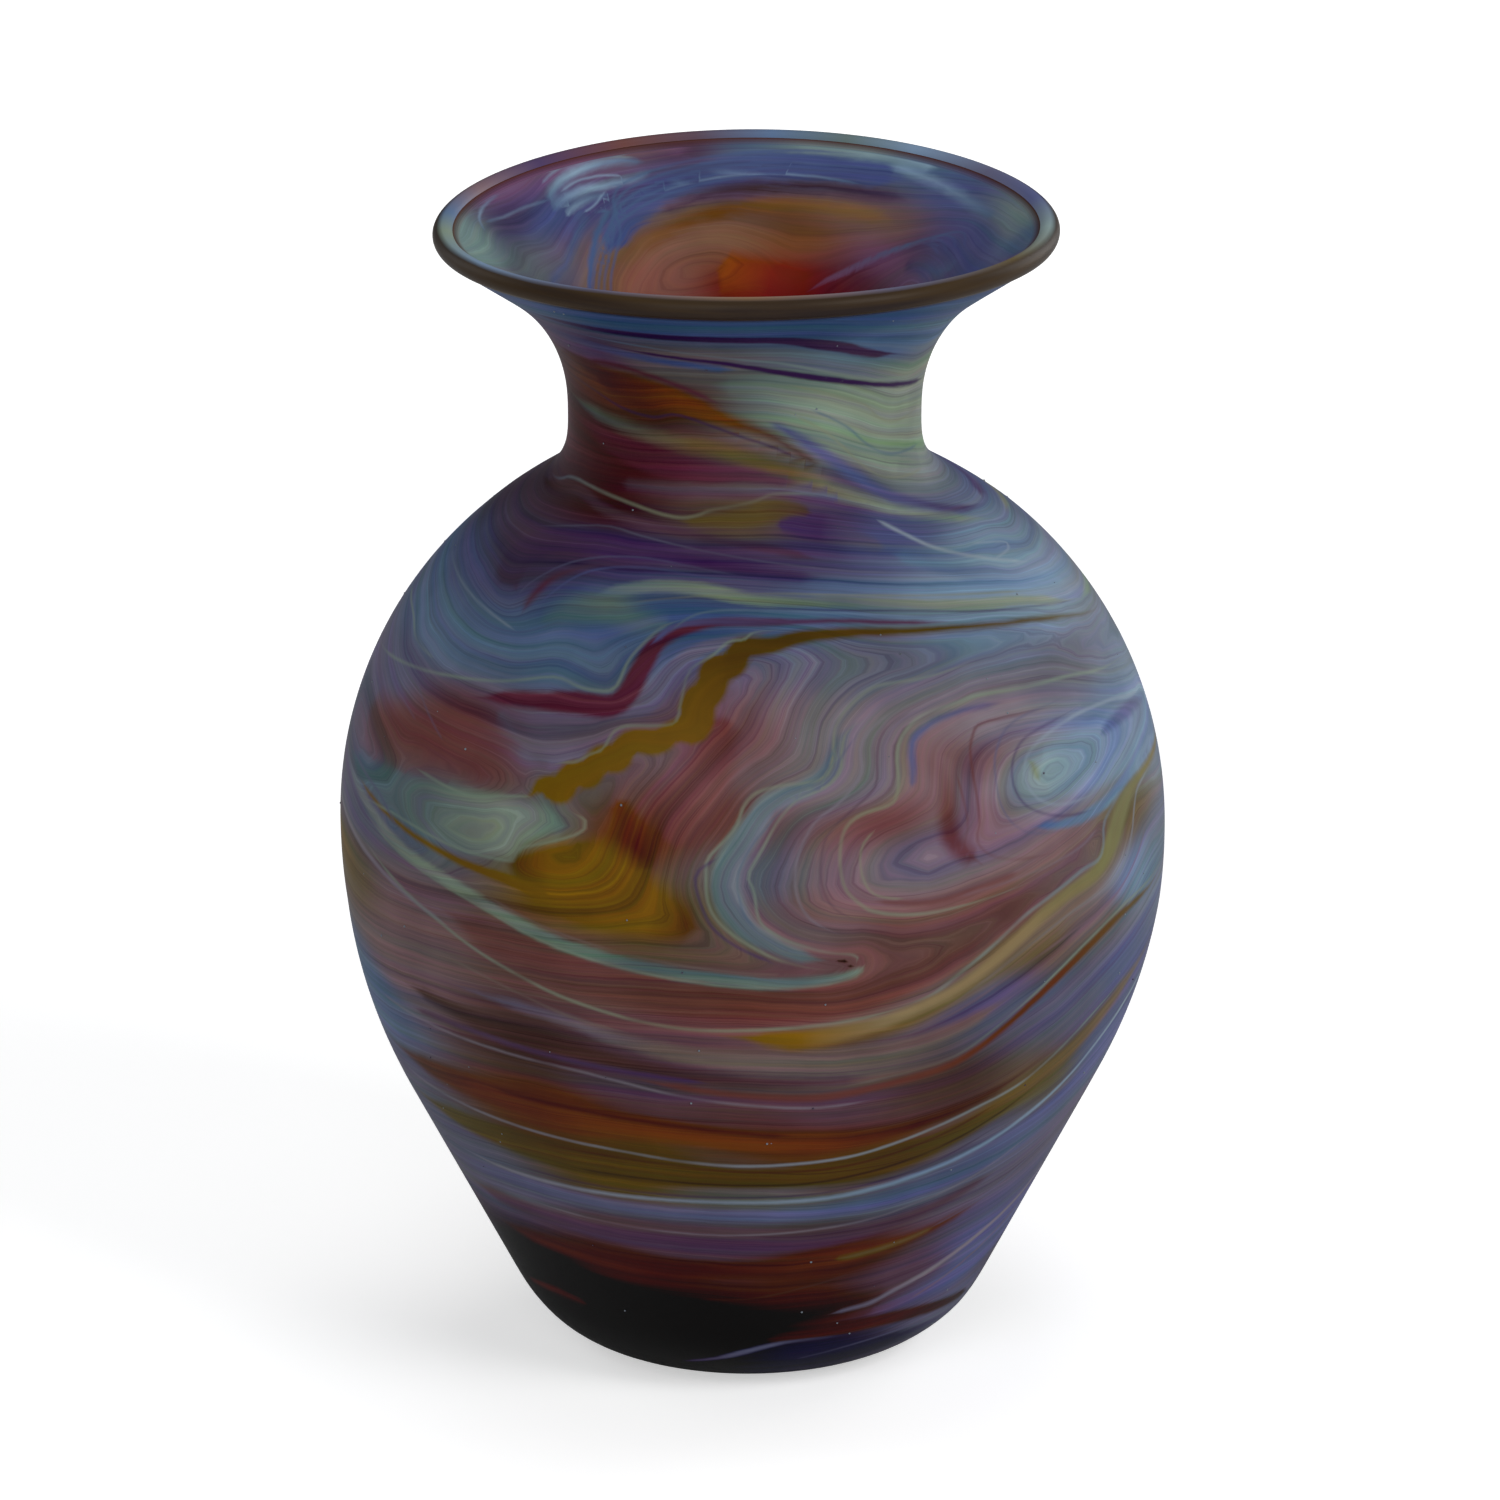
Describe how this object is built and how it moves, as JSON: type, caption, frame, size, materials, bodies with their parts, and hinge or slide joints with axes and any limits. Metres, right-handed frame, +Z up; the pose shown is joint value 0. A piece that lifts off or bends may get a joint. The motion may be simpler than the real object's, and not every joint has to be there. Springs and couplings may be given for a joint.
{
  "type": "blown glass vase",
  "caption": "Free-standing hand-blown vase with a round belly, narrow throat and wide flared lip, in satin marbled glass over amber.",
  "frame": {"origin": "centre of the ground foot ring, on the table", "axes": "+Z up along the vase's axis of turning, from the foot to the lip"},
  "size_m": [0.1414, 0.1414, 0.2],
  "materials": {
    "marbled_glass": "acid-etched satin, opaque marbled colour",
    "amber_glass": "fire-polished, transparent amber",
    "dark_lip_glass": "fire-polished, dark olive brown",
    "punty_glass": "broken and lightly ground"
  },
  "bodies": {
    "root": {"marbled_overlay": "marbled_glass", "inner_gather": "amber_glass", "lip_wrap": "dark_lip_glass", "pontil_button": "punty_glass"}
  },
  "joints": []
}
